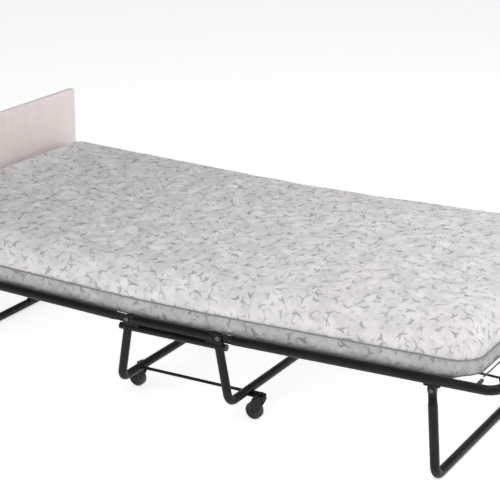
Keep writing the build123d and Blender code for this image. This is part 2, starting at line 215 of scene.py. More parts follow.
def plastic(name, base, rough, grain=700.0, var=0.15):
    m, nt, b = new_mat(name)
    g = Net(nt)
    n1 = g.noise(25.0, 4.0, 0.6)
    g.link(g.mixc(g.math("MULTIPLY", n1, var), base, tuple(min(1, c * 2.2 + 0.02) for c in base)), b.inputs["Base Color"])
    g.link(g.math("MULTIPLY_ADD", g.noise(80.0, 3.0, 0.5), 0.15, rough - 0.07), b.inputs["Roughness"])
    g.link(g.bump(g.noise(grain, 2.0, 0.5), 0.2, 0.0002), b.inputs["Normal"])
    return m


def laminate(name):
    """Pale pinkish-beige laminate with a very faint, fine vertical grain."""
    m, nt, b = new_mat(name)
    g = Net(nt)
    warp = g.noise(2.2, 2.0, 0.5, out="Color")
    st = g.mapping((1.0, 9.0, 1.4))
    add = g.node("ShaderNodeVectorMath", operation="MULTIPLY_ADD")
    g.link(warp, add.inputs[0])
    add.inputs[1].default_value = (0.8, 0.8, 0.8)
    g.link(st, add.inputs[2])
    grain = g.noise(5.0, 6.0, 0.62, src=add.outputs[0])
    fine = g.noise(1.0, 3.0, 0.6, src=g.mapping((40.0, 900.0, 26.0)))
    c = g.mixc(g.ramp(grain, [(0.32, 0.0), (0.68, 1.0)]), (0.815, 0.725, 0.705), (0.770, 0.680, 0.660))
    c = g.mixc(g.math("MULTIPLY", g.ramp(fine, [(0.45, 0.0), (0.7, 1.0)]), 0.22), c, (0.72, 0.625, 0.602))
    blot = g.ramp(g.noise(3.0, 3.0, 0.5), [(0.35, 0.0), (0.7, 1.0)])
    c = g.mixc(g.math("MULTIPLY", blot, 0.25), c, (0.82, 0.750, 0.738))
    g.link(c, b.inputs["Base Color"])
    g.link(g.math("MULTIPLY_ADD", grain, 0.14, 0.34), b.inputs["Roughness"])
    g.link(g.bump(fine, 0.10, 0.0003), b.inputs["Normal"])
    b.inputs["Coat Weight"].default_value = 0.12
    b.inputs["Coat Roughness"].default_value = 0.3
    return m


def ticking(name, side=False):
    """White mattress ticking: grey sprig print, wandering quilt stitching, fine weave; the side copy is darker,
    painted shade of the side band and underside.
    """
    m, nt, b = new_mat(name)
    g = Net(nt)
    sep = g.node("ShaderNodeSeparateXYZ")
    g.link(g.obj(), sep.inputs[0])
    x, y, z = sep.outputs[0], sep.outputs[1], sep.outputs[2]
    if side:  # the band runs round the bed: u along it, v up it; flat on the underside
        ns_ = g.node("ShaderNodeSeparateXYZ")
        g.link(g.coord.node.outputs["Normal"], ns_.inputs[0])
        under = g.math("DIVIDE", g.math("SUBTRACT", g.math("ABSOLUTE", ns_.outputs[2]), 0.6), 0.1, clamp=True)
        u = g.math("ADD", x, g.math("MULTIPLY", y, g.math("SUBTRACT", 1.0, under)))
        v = g.math("MULTIPLY_ADD", under, g.math("SUBTRACT", y, z), z)
    else:  # the top panel turns down over the shoulder: follow it by the surface normal
        ns_ = g.node("ShaderNodeSeparateXYZ")
        g.link(g.coord.node.outputs["Normal"], ns_.inputs[0])
        drop = g.math("SUBTRACT", Z_TOP, z)
        u = g.math("MULTIPLY_ADD", ns_.outputs[0], drop, x)
        v = g.math("MULTIPLY_ADD", ns_.outputs[1], drop, y)
    flat = g.node("ShaderNodeCombineXYZ")
    g.link(u, flat.inputs[0])
    g.link(v, flat.inputs[1])
    # hand-drawn wobble
    wob = g.noise(38.0, 1.0, 0.5, src=flat.outputs[0], out="Color")
    add = g.node("ShaderNodeVectorMath", operation="MULTIPLY_ADD")
    g.link(wob, add.inputs[0])
    add.inputs[1].default_value = (0.010, 0.010, 0.0)
    g.link(flat.outputs[0], add.inputs[2])
    src = add.outputs[0]

    def sprigs(scale, length, width, curl, shift):
        """One curved stroke in every cell, turned its own way."""
        vor = g.node("ShaderNodeTexVoronoi", voronoi_dimensions="2D", feature="F1")
        vor.inputs["Scale"].default_value = scale
        vor.inputs["Randomness"].default_value = 0.85
        mp = g.mapping((1, 1, 1), loc=(shift, shift * 0.6, 0), src=src)
        g.link(mp, vor.inputs["Vector"])
        loc = g.node("ShaderNodeVectorMath", operation="SUBTRACT")
        g.link(mp, loc.inputs[0])
        g.link(vor.outputs["Position"], loc.inputs[1])
        rgb = g.node("ShaderNodeSeparateColor")
        g.link(vor.outputs["Color"], rgb.inputs[0])
        rot = g.node("ShaderNodeVectorRotate", rotation_type="Z_AXIS")
        g.link(loc.outputs[0], rot.inputs["Vector"])
        g.link(g.math("MULTIPLY", rgb.outputs[0], 6.2832), rot.inputs["Angle"])
        s2 = g.node("ShaderNodeSeparateXYZ")
        g.link(rot.outputs[0], s2.inputs[0])
        lx, ly = s2.outputs[0], s2.outputs[1]
        bend = g.math("MULTIPLY", g.math("MULTIPLY_ADD", rgb.outputs[1], 2.0, -1.0), curl)
        off = g.math("SUBTRACT", ly, g.math("MULTIPLY", g.math("MULTIPLY", lx, lx), bend))
        t = g.math("DIVIDE", lx, length)
        room = g.math("MULTIPLY", g.math("SUBTRACT", 1.0, g.math("MULTIPLY", t, t)), width)
        stroke = g.math("DIVIDE", g.math("SUBTRACT", room, g.math("ABSOLUTE", off)), width * 0.45, clamp=True)
        # a leaf off one side of the stem
        l2x = g.math("SUBTRACT", lx, length * 0.25)
        l2y = g.math("SUBTRACT", g.math("SUBTRACT", ly, length * 0.28), g.math("MULTIPLY", l2x, 0.9))
        t2 = g.math("DIVIDE", l2x, length * 0.42)
        room2 = g.math("MULTIPLY", g.math("SUBTRACT", 1.0, g.math("MULTIPLY", t2, t2)), width * 1.25)
        leaf = g.math("DIVIDE", g.math("SUBTRACT", room2, g.math("ABSOLUTE", l2y)), width * 0.45, clamp=True)
        return g.math("MAXIMUM", stroke, leaf), rgb.outputs[2]

    big, tone1 = sprigs(20.0, 0.0205, 0.0046, 30.0, 0.0)
    small, tone2 = sprigs(31.0, 0.0125, 0.0030, 50.0, 0.37)
    # the side copy (side band and underside) takes a darker ground and darker print: painted shade of the sides and
    # underside
    ground = (0.86, 0.855, 0.86) if not side else (0.60, 0.60, 0.605)
    tint = g.ramp(g.noise(1.7, 2.0, 0.5), [(0.40, 0.0), (0.62, 1.0)])
    ground = g.mixc(g.math("MULTIPLY", tint, 0.8), ground, (0.875, 0.835, 0.845) if not side else (0.61, 0.585, 0.595))
    soft = g.ramp(g.noise(13.0, 3.0, 0.6, src=flat.outputs[0]), [(0.38, 0.0), (0.62, 1.0)])
    c = g.mixc(g.math("MULTIPLY", soft, 0.38), ground, (0.52, 0.51, 0.525) if not side else (0.36, 0.36, 0.37))
    fine = g.ramp(g.noise(34.0, 2.0, 0.6, src=flat.outputs[0]), [(0.42, 0.0), (0.62, 1.0)])
    c = g.mixc(g.math("MULTIPLY", fine, 0.26), c, (0.50, 0.49, 0.505) if not side else (0.34, 0.34, 0.35))
    c = g.mixc(g.math("MULTIPLY", small, g.math("MULTIPLY_ADD", tone2, 0.30, 0.30)), c, (0.34, 0.34, 0.35) if not side else (0.22, 0.22, 0.23))
    c = g.mixc(g.math("MULTIPLY", big, g.math("MULTIPLY_ADD", tone1, 0.35, 0.42)), c, (0.29, 0.29, 0.30) if not side else (0.20, 0.20, 0.21))
    # quilt stitching: the zero line of crossed waves, the same figure that the form is stitched on
    sin = lambda a: g.math("SINE", a)
    if not side:
        f1 = sin(g.math("ADD", g.math("MULTIPLY", x, QA), g.math("MULTIPLY", sin(g.math("MULTIPLY", y, QB)), QW)))
        f2 = sin(g.math("ADD", g.math("MULTIPLY", y, QA), g.math("MULTIPLY", sin(g.math("MULTIPLY_ADD", x, QB, 1.0)), QW)))
        line = g.math("ABSOLUTE", g.math("ADD", f1, f2))
        up = g.ramp(ns_.outputs[2], [(0.80, 0.0), (0.97, 1.0)])  # the quilting stops at the shoulder
        line = g.math("MAXIMUM", line, g.math("SUBTRACT", 1.0, up))
        stitch = g.ramp(line, [(0.0, 1.0), (0.055, 0.0)])
        puff = g.ramp(line, [(0.0, 0.0), (0.6, 1.0)], "EASE")
        dash = g.ramp(g.noise(320.0, 0.0, 0.5, src=flat.outputs[0]), [(0.40, 0.0), (0.5, 1.0)])
        # dashed grey along the stitch line: stitching thread, partly painted shade in the stitched groove
        c = g.mixc(g.math("MULTIPLY", g.math("MULTIPLY", stitch, dash), 0.22), c, (0.42, 0.42, 0.43))
    else:
        wave = g.math("ADD", g.math("MULTIPLY", u, 61.0), g.math("MULTIPLY", sin(g.math("MULTIPLY", v, 70.0)), 0.9))
        line = g.math("ABSOLUTE", sin(wave))
        stitch = g.ramp(line, [(0.0, 1.0), (0.06, 0.0)])
        puff = g.ramp(line, [(0.0, 0.0), (0.7, 1.0)], "EASE")
    # weave
    wv1 = g.node("ShaderNodeTexWave", wave_type="BANDS", bands_direction="X")
    wv1.inputs["Scale"].default_value = 420.0
    wv2 = g.node("ShaderNodeTexWave", wave_type="BANDS", bands_direction="Y")
    wv2.inputs["Scale"].default_value = 420.0
    g.link(flat.outputs[0], wv1.inputs["Vector"])
    g.link(flat.outputs[0], wv2.inputs["Vector"])
    weave = g.math("MULTIPLY", wv1.outputs["Fac"], wv2.outputs["Fac"])
    c = g.mixc(g.math("MULTIPLY", weave, 0.07), c, (0.9, 0.9, 0.9))
    g.link(c, b.inputs["Base Color"])
    b.inputs["Roughness"].default_value = 0.88
    b.inputs["Sheen Weight"].default_value = 0.12
    b.inputs["Sheen Roughness"].default_value = 0.5
    b.inputs["Specular IOR Level"].default_value = 0.2
    h = g.math("MULTIPLY_ADD", puff, 1.0, g.math("MULTIPLY", g.noise(70.0, 3.0, 0.6), 0.5))
    n1 = g.bump(h, 0.45, 0.003)
    n2 = g.bump(weave, 0.2, 0.0003, n1)
    g.link(n2, b.inputs["Normal"])
    return m


def tape_and_seam_shade_mat(name):
    """Woven binding tape along the mattress edges; its dark grey is partly painted shade of the seams at the top edge
    and above the rail.
    """
    m, nt, b = new_mat(name)
    g = Net(nt)
    n1 = g.noise(140.0, 3.0, 0.6)
    # dark grey tape colour: binding tape, partly painted seam shade
    g.link(g.mixc(n1, (0.22, 0.22, 0.23), (0.34, 0.34, 0.35)), b.inputs["Base Color"])
    b.inputs["Roughness"].default_value = 0.8
    wv = g.node("ShaderNodeTexWave", wave_type="BANDS", bands_direction="DIAGONAL")
    wv.inputs["Scale"].default_value = 260.0
    g.link(g.obj(), wv.inputs["Vector"])
    g.link(g.bump(wv.outputs["Fac"], 0.4, 0.0006), b.inputs["Normal"])
    return m


M_ENAMEL = enamel("black_enamel_tube")
M_CASTER = enamel("caster_black_steel", base=(0.015, 0.015, 0.016), gloss=0.4)
M_WIRE = steel("spring_wire_dull", (0.17, 0.17, 0.175), 0.5)
M_ZINC = steel("zinc_dull", (0.13, 0.13, 0.135), 0.42)
M_WHEEL = plastic("caster_tread_black", (0.016, 0.016, 0.017), 0.5)
M_PLUG = plastic("plug_black_plastic", (0.018, 0.018, 0.018), 0.55)
M_LAM = laminate("headboard_laminate_beige")
M_EDGE = plastic("headboard_edge_pale", (0.86, 0.83, 0.82), 0.42, var=0.04)
M_TICK = ticking("mattress_ticking_top")
M_SIDE_SHADED = ticking("mattress_ticking_side_shaded", side=True)
M_TAPE_AND_SEAM_SHADE = tape_and_seam_shade_mat("mattress_edge_tape_and_seam_shade")

slot_mat = {
    "black_enamel": M_ENAMEL,
    "spring_wire": M_WIRE,
    "zinc_fasteners": M_ZINC,
    "caster_steel": M_CASTER,
    "caster_tread": M_WHEEL,
    "black_plastic": M_PLUG,
    "mattress_ticking": M_TICK,
    "headboard_laminate": M_LAM,
    "headboard_edge": M_EDGE,
}
for sp in frame["record"]["subparts"]:
    o = nodes[sp["node"]]
    o.data.materials.clear()
    o.data.materials.append(slot_mat[sp["material_slot"]])
    o.data.shade_smooth()
    o.data.set_sharp_from_angle(angle=math.radians(32))


# ================================================================== mattress
def smooth_ramp(d, soft):
    """0 for d << 0, d for d >> 0, with a smooth knee `soft` wide."""
    return 0.5 * (d + np.sqrt(d * d + soft * soft)) - 0.5 * soft * 0.35


def deck_rise(x):
    dh = np.maximum(0.0, 0.5 * ((PH.x - x) + np.sqrt((PH.x - x) ** 2 + 0.05**2)) - 0.008)
    df = np.maximum(0.0, 0.5 * ((x - PF.x) + np.sqrt((x - PF.x) ** 2 + 0.05**2)) - 0.008)
    return dh * RISE_H + df * RISE_F


def hash_grid(ix, iy, seed):
    n = (ix.astype(np.int64) * 374761393 + iy.astype(np.int64) * 668265263 + seed * 1442695041) & 0xFFFFFFFF
    n = ((n ^ (n >> 13)) * 1274126177) & 0xFFFFFFFF
    return ((n ^ (n >> 16)) & 0xFFFF) / 65535.0


def vnoise(x, y, scale, seed=0):
    """Smooth value noise, -1..1."""
    x = np.asarray(x) * scale
    y = np.asarray(y) * scale
    ix, iy = np.floor(x), np.floor(y)
    fx, fy = x - ix, y - iy
    fx = fx * fx * fx * (fx * (fx * 6 - 15) + 10)
    fy = fy * fy * fy * (fy * (fy * 6 - 15) + 10)
    v00 = hash_grid(ix, iy, seed)
    v10 = hash_grid(ix + 1, iy, seed)
    v01 = hash_grid(ix, iy + 1, seed)
    v11 = hash_grid(ix + 1, iy + 1, seed)
    return 2 * ((v00 * (1 - fx) + v10 * fx) * (1 - fy) + (v01 * (1 - fx) + v11 * fx) * fy) - 1


Z_BOT = PH.z + 0.0118  # underside, just above the spring wires
Z_LOW = PH.z + 0.0078  # lower tape
Z_TAPE = PH.z + 0.0540  # upper tape
Z_CROWN = PH.z + 0.1480  # middle of the top
R_PLAN = 0.070
SHOULDER = 0.062  # how far the top takes to round over

step = 0.0080
bx = [XH, PH.x - 0.020, PH.x + 0.006, (PH.x + PF.x) / 2, PF.x - 0.006, PF.x + 0.020, XF]


def columns():
    """Column positions along the bed; finer in the rounded corners, and one at each cut."""
    xs = []
    for a, b in zip(bx[:-1], bx[1:]):
        n = max(2, int(round((b - a) / step)))
        xs += list(np.linspace(a, b, n, endpoint=False))
    xs.append(bx[-1])
    xs = np.array(xs)
    # ease the columns into the corner arcs
    arc = [R_PLAN * (1 - math.cos(t)) for t in np.linspace(0, math.pi / 2, 20)]
    keep = xs[(xs > XH + R_PLAN + step * 0.4) & (xs < XF - R_PLAN - step * 0.4)]
    xs = np.concatenate([XH + np.array(arc), keep, XF - np.array(arc)[::-1]])
    return np.unique(np.round(xs, 7))


XS = columns()
NB = int(round(2 * MW / step)) | 1
BS = np.linspace(-1, 1, NB)
CUT = [int(np.argmin(np.abs(XS - v))) for v in bx]


def half_width(x):
    d = np.maximum(0.0, np.maximum(XH + R_PLAN - x, x - (XF - R_PLAN)))
    return MW - R_PLAN + np.sqrt(np.maximum(0.0, R_PLAN**2 - d**2))


def edge_dist(x, y):
    """Distance in from the plan outline."""
    dx = np.minimum(x - XH, XF - x)
    dy = MW - np.abs(y)
    cx, cy = R_PLAN - dx, R_PLAN - dy
    corner = (cx > 0) & (cy > 0)
    d = np.minimum(dx, dy)
    d = np.where(corner, R_PLAN - np.sqrt(np.maximum(0, cx) ** 2 + np.maximum(0, cy) ** 2), d)
    return np.maximum(0.0, d)


def top_z(x, y):
    d = edge_dist(x, y)
    t = np.clip(d / SHOULDER, 0, 1)
    rise = np.sqrt(np.clip(1 - (1 - t) ** 2, 0, 1)) ** 0.85  # rounded shoulder
    crown = 1 - 0.055 * (np.abs(y) / MW) ** 2.2
    puff = 0.0016 * vnoise(x, y, 9.0, 3) + 0.0012 * vnoise(x, y, 21.0, 5) + 0.0020 * vnoise(x, y, 3.1, 8)
    z = Z_TAPE + (Z_CROWN - Z_TAPE) * rise * crown + puff * np.clip(d / 0.16, 0, 1)
    return z


X2, B2 = np.meshgrid(XS, BS, indexing="ij")
HWX = half_width(X2)
Y2 = B2 * HWX
top = np.stack([X2, Y2, top_z(X2, Y2) + deck_rise(X2)], -1)


def at_head_end(x):
    t = np.clip((XH + 0.060 - x) / 0.030, 0, 1)
    return t * t * (3 - 2 * t)


def at_foot_end(x):
    t = np.clip((x - XF + 0.060) / 0.030, 0, 1)
    return t * t * (3 - 2 * t)


def low_lift(x):
    """The lower edge rides up over the end tube at the head, and over the spring wires at the foot."""
    return 0.0080 * at_head_end(x) + 0.0066 * at_foot_end(x)


bot = np.stack([X2, Y2, np.full_like(X2, Z_BOT) + deck_rise(X2) + 0.0022 * at_head_end(X2)], -1)

# plan outline loop, in order, as (column, row) pairs
NC = len(XS)
loop = (
    [(i, 0) for i in range(NC)]
    + [(NC - 1, j) for j in range(1, NB)]
    + [(i, NB - 1) for i in range(NC - 2, -1, -1)]
    + [(0, j) for j in range(NB - 2, 0, -1)]
)
L = len(loop)
LI = np.array([p[0] for p in loop])
LJ = np.array([p[1] for p in loop])
rim_xy = np.stack([X2[LI, LJ], Y2[LI, LJ]], -1)
prev, nxt = np.roll(rim_xy, 1, 0), np.roll(rim_xy, -1, 0)
tan = nxt - prev
tan /= np.linalg.norm(tan, axis=1, keepdims=True)
nrm = np.stack([tan[:, 1], -tan[:, 0]], -1)
along = np.concatenate([[0], np.cumsum(np.linalg.norm(np.diff(rim_xy, axis=0), axis=1))])

# side band rings, from just under the upper tape to the lower tape: (height share, bulge)
K = 9
rings = []
for k in range(1, K):
    t = k / K
    bulge = 0.0055 * math.sin(math.pi * t) ** 0.8
    rip = 0.0016 * vnoise(along * 1.0, np.full(L, t * 0.3), 26.0, 11) * math.sin(math.pi * t)
    z = Z_TAPE + (Z_LOW - Z_TAPE) * t + low_lift(rim_xy[:, 0]) * t
    # flat where it stands against the headboard
    free = 1 - 0.95 * at_head_end(rim_xy[:, 0]) * np.clip(-nrm[:, 0] * 1.5, 0, 1)
    p = rim_xy + nrm * ((bulge + rip) * free)[:, None]
    rings.append(np.stack([p[:, 0], p[:, 1], z + deck_rise(p[:, 0])], -1))
low_ring = np.stack([rim_xy[:, 0], rim_xy[:, 1], Z_LOW + low_lift(rim_xy[:, 0]) + deck_rise(rim_xy[:, 0])], -1)

# a copy of the underside and its outline 4 mm in; neither is used further
bi = bot.copy()
bot_rim_in = rim_xy - nrm * 0.004


def build_mesh():
    """The whole closed mattress: vertices, quads with a part tag, and the owner column of each quad."""
    verts, quads, mats, owner = [], [], [], []

    def add_grid(g):
        base = len(verts)
        verts.extend(g.reshape(-1, 3).tolist())
        return base

    bt = add_grid(top)
    idx_top = lambda i, j: bt + i * NB + j
    for i in range(NC - 1):
        for j in range(NB - 1):
            quads.append((idx_top(i, j), idx_top(i + 1, j), idx_top(i + 1, j + 1), idx_top(i, j + 1)))
            mats.append(0)
            owner.append(i)
    ring_base = []
    for r in rings:
        ring_base.append(add_grid(r[:, None, :]))
    ring_base.append(add_grid(low_ring[:, None, :]))
    bb = add_grid(bot)
    idx_bot = lambda i, j: bb + i * NB + j
    for i in range(NC - 1):
        for j in range(NB - 1):
            quads.append((idx_bot(i, j), idx_bot(i, j + 1), idx_bot(i + 1, j + 1), idx_bot(i + 1, j)))
            mats.append(1)
            owner.append(i)

    def level(k, n):
        n %= L
        if k == 0:
            return idx_top(int(LI[n]), int(LJ[n]))
        if k == K + 1:
            return idx_bot(int(LI[n]), int(LJ[n]))
        return ring_base[k - 1] + n

    for n in range(L):
        own = min(int(LI[n]), int(LI[(n + 1) % L]))
        own = min(own, NC - 2)
        for k in range(K + 1):
            quads.append((level(k, n + 1), level(k, n), level(k + 1, n), level(k + 1, n + 1)))
            mats.append(1)
            owner.append(own)
    return np.array(verts), quads, np.array(mats), np.array(owner), idx_top, idx_bot, level


V, Q, QM, QO, idx_top, idx_bot, level = build_mesh()

def inflate():
    """Cloth pass: the cover is blown up a little between its stitching, tapes and base."""
    global V
    me = bpy.data.meshes.new("cover_form")
    me.from_pydata([tuple(v) for v in V], [], [tuple(q) for q in Q])
    o = bpy.data.objects.new("cover_form", me)
    col.objects.link(o)
    n_top = NC * NB
    x, y = V[:n_top, 0], V[:n_top, 1]
    f = np.sin(QA * x + QW * np.sin(QB * y)) + np.sin(QA * y + QW * np.sin(QB * x + 1.0))
    gx = np.gradient(f.reshape(NC, NB), axis=0)
    gy = np.gradient(f.reshape(NC, NB), axis=1)
    near = np.abs(f) / np.maximum(1e-6, np.hypot(gx, gy).ravel())  # distance to the line, in grid steps
    hold = np.zeros(len(V))
    inner = edge_dist(x, y) > SHOULDER * 0.85
    hold[:n_top] = np.where((near < 0.55) & inner, 1.0, 0.0)
    rim = [idx_top(int(i), int(j)) for i, j in loop]
    hold[rim] = 1.0
    base = n_top + (K - 1) * L
    hold[base:] = 1.0  # lower tape and underside
    vg = o.vertex_groups.new(name="hold")
    vg.add([int(i) for i in np.where(hold > 0.5)[0]], 1.0, "REPLACE")
    cm = o.modifiers.new("cloth", "CLOTH")
    st = cm.settings
    st.quality = 5
    st.mass = 0.25
    st.tension_stiffness = st.compression_stiffness = 20.0
    st.shear_stiffness = 8.0
    st.bending_stiffness = 0.4
    st.tension_damping = st.compression_damping = st.shear_damping = 15.0
    st.air_damping = 6.0
    st.use_pressure = True
    st.uniform_pressure_force = 4.0
    st.shrink_min = -0.02
    st.vertex_group_mass = "hold"
    st.effector_weights.gravity = 0.0
    cm.collision_settings.use_collision = False
    cm.collision_settings.use_self_collision = False
    sc = bpy.context.scene
    last = 14
    cm.point_cache.frame_start, cm.point_cache.frame_end = 1, last
    for f_ in range(1, last + 1):
        sc.frame_set(f_)
    dg = bpy.context.evaluated_depsgraph_get()
    ev = o.evaluated_get(dg)
    em = ev.to_mesh()
    co_ = np.empty(len(em.vertices) * 3)
    em.vertices.foreach_get("co", co_)
    new = co_.reshape(-1, 3).copy()
    ev.to_mesh_clear()
    sc.frame_set(1)
    move = new - V
    far = np.linalg.norm(move, axis=1, keepdims=True)
    cap = 0.0045
    move *= np.minimum(1.0, cap / np.maximum(1e-9, far))
    # the rolled shoulder is taut: it keeps a third of the movement
    taut = np.clip((edge_dist(x, y) - 0.03) / 0.12, 0.3, 1.0)
    move[:n_top] *= taut[:, None]
    move *= (1 - 0.92 * at_head_end(V[:, 0]))[:, None]
    move[hold > 0.5] = 0.0
    print("cloth: moved mean %.2f mm, max %.2f mm before the cap" % (1000 * far.mean(), 1000 * far.max()))
    V = V + move
    bpy.data.objects.remove(o)
    bpy.data.meshes.remove(me)


inflate()

# smooth normals of the whole form, kept on every cut piece
Qa = np.array(Q)
fn = np.cross(V[Qa[:, 2]] - V[Qa[:, 0]], V[Qa[:, 3]] - V[Qa[:, 1]])
VN = np.zeros_like(V)
for c in range(4):
    np.add.at(VN, Qa[:, c], fn)
VN /= np.maximum(1e-12, np.linalg.norm(VN, axis=1, keepdims=True))


def column_loop(i):
    """Vertices around the cross-section at column i, counter-clockwise seen from +X."""
    out = [idx_bot(i, j) for j in range(NB)]  # -y to +y along the bottom
    n_pos = loop_at[(i, NB - 1)]
    out += [level(k, n_pos) for k in range(K, 0, -1)]
    out += [idx_top(i, j) for j in range(NB - 1, -1, -1)]
    n_neg = loop_at[(i, 0)]
    out += [level(k, n_neg) for k in range(1, K + 1)]
    return out


loop_at = {p: n for n, p in enumerate(loop)}


def tube_mesh(points, radius, closed, sides=8, flat=0.6):
    """Binding: a slightly flattened tube along points."""
    P = np.array(points)
    n = len(P)
    T = np.roll(P, -1, 0) - np.roll(P, 1, 0)
    if not closed:
        T[0], T[-1] = P[1] - P[0], P[-1] - P[-2]
    T /= np.linalg.norm(T, axis=1, keepdims=True)
    up = np.array([0, 0, 1.0])
    N = np.cross(T, up)
    N /= np.linalg.norm(N, axis=1, keepdims=True)
    U = np.cross(N, T)
    vs, fs, nn = [], [], []
    for i in range(n):
        for s in range(sides):
            a = 2 * math.pi * s / sides
            d = N[i] * math.cos(a) * radius + U[i] * math.sin(a) * radius * flat
            vs.append(P[i] + d)
            nn.append(d / np.linalg.norm(d))
    for i in range(n if closed else n - 1):
        for s in range(sides):
            a, b = i * sides + s, i * sides + (s + 1) % sides
            c, d = ((i + 1) % n) * sides + (s + 1) % sides, ((i + 1) % n) * sides + s
            fs.append((a, d, c, b))
    caps = []
    if not closed:
        caps = [tuple(range(sides)), tuple((n - 1) * sides + s for s in range(sides))[::-1]]
    return np.array(vs), fs, np.array(nn), caps


def rim_path(c0, c1, z, out):
    """Runs of the tape between columns c0 and c1, as one or two open paths."""
    ok = [(c0 <= LI[n] <= c1) for n in range(L)]
    height = z + deck_rise(rim_xy[:, 0]) + (low_lift(rim_xy[:, 0]) if z == Z_LOW else 0.0)
    pts = np.stack([rim_xy[:, 0] + nrm[:, 0] * out, rim_xy[:, 1] + nrm[:, 1] * out, height], -1)
    runs, cur = [], []
    start = next((n for n in range(L) if not ok[n]), None)
    if start is None:
        return [(pts, True)]
    for s in range(1, L + 1):
        n = (start + s) % L
        if ok[n]:
            cur.append(pts[n])
        elif cur:
            runs.append((np.array(cur), False))
            cur = []
    if cur:
        runs.append((np.array(cur), False))
    return runs


def mattress_piece(name, c0, c1):
    sel = np.where((QO >= c0) & (QO < c1))[0]
    used = sorted({v for q in sel for v in Q[q]})
    remap = {v: k for k, v in enumerate(used)}
    verts = [tuple(V[v]) for v in used]
    norms = [tuple(VN[v]) for v in used]
    faces = [tuple(remap[v] for v in Q[q]) for q in sel]
    mats = [int(QM[q]) for q in sel]
    fnorm = [None] * len(faces)
    for col_, sign in ((c0, -1), (c1, 1)):
        if 0 < col_ < NC - 1:
            ring = [remap[v] for v in column_loop(col_)]
            base = len(verts)
            verts += [verts[v] for v in ring]
            norms += [(float(sign), 0.0, 0.0)] * len(ring)
            # strips across the cut face, bottom row to top row
            bot_ids = [base + j for j in range(NB)]
            pos_ids = [base + NB + k for k in range(K)]
            top_ids = [base + NB + K + j for j in range(NB)][::-1]
            neg_ids = [base + NB + K + NB + k for k in range(K)][::-1]
            levels = []
            face = []
            for j in range(NB - 1):
                q = (bot_ids[j], bot_ids[j + 1], top_ids[j + 1], top_ids[j])
                face.append(q if sign > 0 else q[::-1])
            side_p = (bot_ids[-1], *pos_ids, top_ids[-1])
            side_n = (top_ids[0], *neg_ids[::-1], bot_ids[0])
            for poly in (side_p, side_n):
                face.append(poly if sign > 0 else poly[::-1])
            faces += face
            mats += [1] * len(face)
    # tapes
    for z, out, r in ((Z_TAPE, 0.0020, 0.0030), (Z_LOW, 0.0012, 0.0028)):
        for pts, closed in rim_path(c0, c1, z, out):
            tv, tf, tn, caps = tube_mesh(pts, r, closed)
            base = len(verts)
            verts += [tuple(v) for v in tv]
            norms += [tuple(v) for v in tn]
            faces += [tuple(base + k for k in f) for f in tf] + [tuple(base + k for k in f) for f in caps]
            mats += [2] * (len(tf) + len(caps))
    me = bpy.data.meshes.new(name)
    me.from_pydata(verts, [], faces)
    for m in (M_TICK, M_SIDE_SHADED, M_TAPE_AND_SEAM_SHADE):
        me.materials.append(m)
    me.polygons.foreach_set("material_index", np.array(mats, np.int32))
    me.shade_smooth()
    me.update()
    me.validate()
    vn = np.array(norms, float)
    me.normals_split_custom_set_from_vertices(vn.tolist())
    o = bpy.data.objects.new(name, me)
    col.objects.link(o)
    return o


# The strip over each pivot line tucks back into its half as it folds, clear of the link rod.
pieces = [
    ("mattress_cover_head", CUT[0], CUT[1]),
    ("mattress_cover_tuck_head", CUT[1], CUT[2]),
    ("mattress_cover_mid_head", CUT[2], CUT[3]),
    ("mattress_cover_mid_foot", CUT[3], CUT[4]),
    ("mattress_cover_tuck_foot", CUT[4], CUT[5]),
    ("mattress_cover_foot", CUT[5], CUT[6]),
]
made = {}
for name, c0, c1 in pieces:
    made[name] = mattress_piece(name, c0, c1)
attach(made["mattress_cover_head"], "head_deck")
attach(made["mattress_cover_tuck_head"], "head_deck")
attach(made["mattress_cover_foot"], "foot_deck")
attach(made["mattress_cover_tuck_foot"], "foot_deck")
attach(made["mattress_cover_mid_head"], "carriage")
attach(made["mattress_cover_mid_foot"], "carriage")
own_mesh(made["mattress_cover_mid_head"])
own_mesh(made["mattress_cover_mid_foot"])
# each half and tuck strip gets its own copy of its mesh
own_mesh(made["mattress_cover_head"])
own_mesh(made["mattress_cover_foot"])
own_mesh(made["mattress_cover_tuck_head"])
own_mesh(made["mattress_cover_tuck_foot"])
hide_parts("mattress_head")
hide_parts("mattress_centre")
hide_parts("mattress_foot")


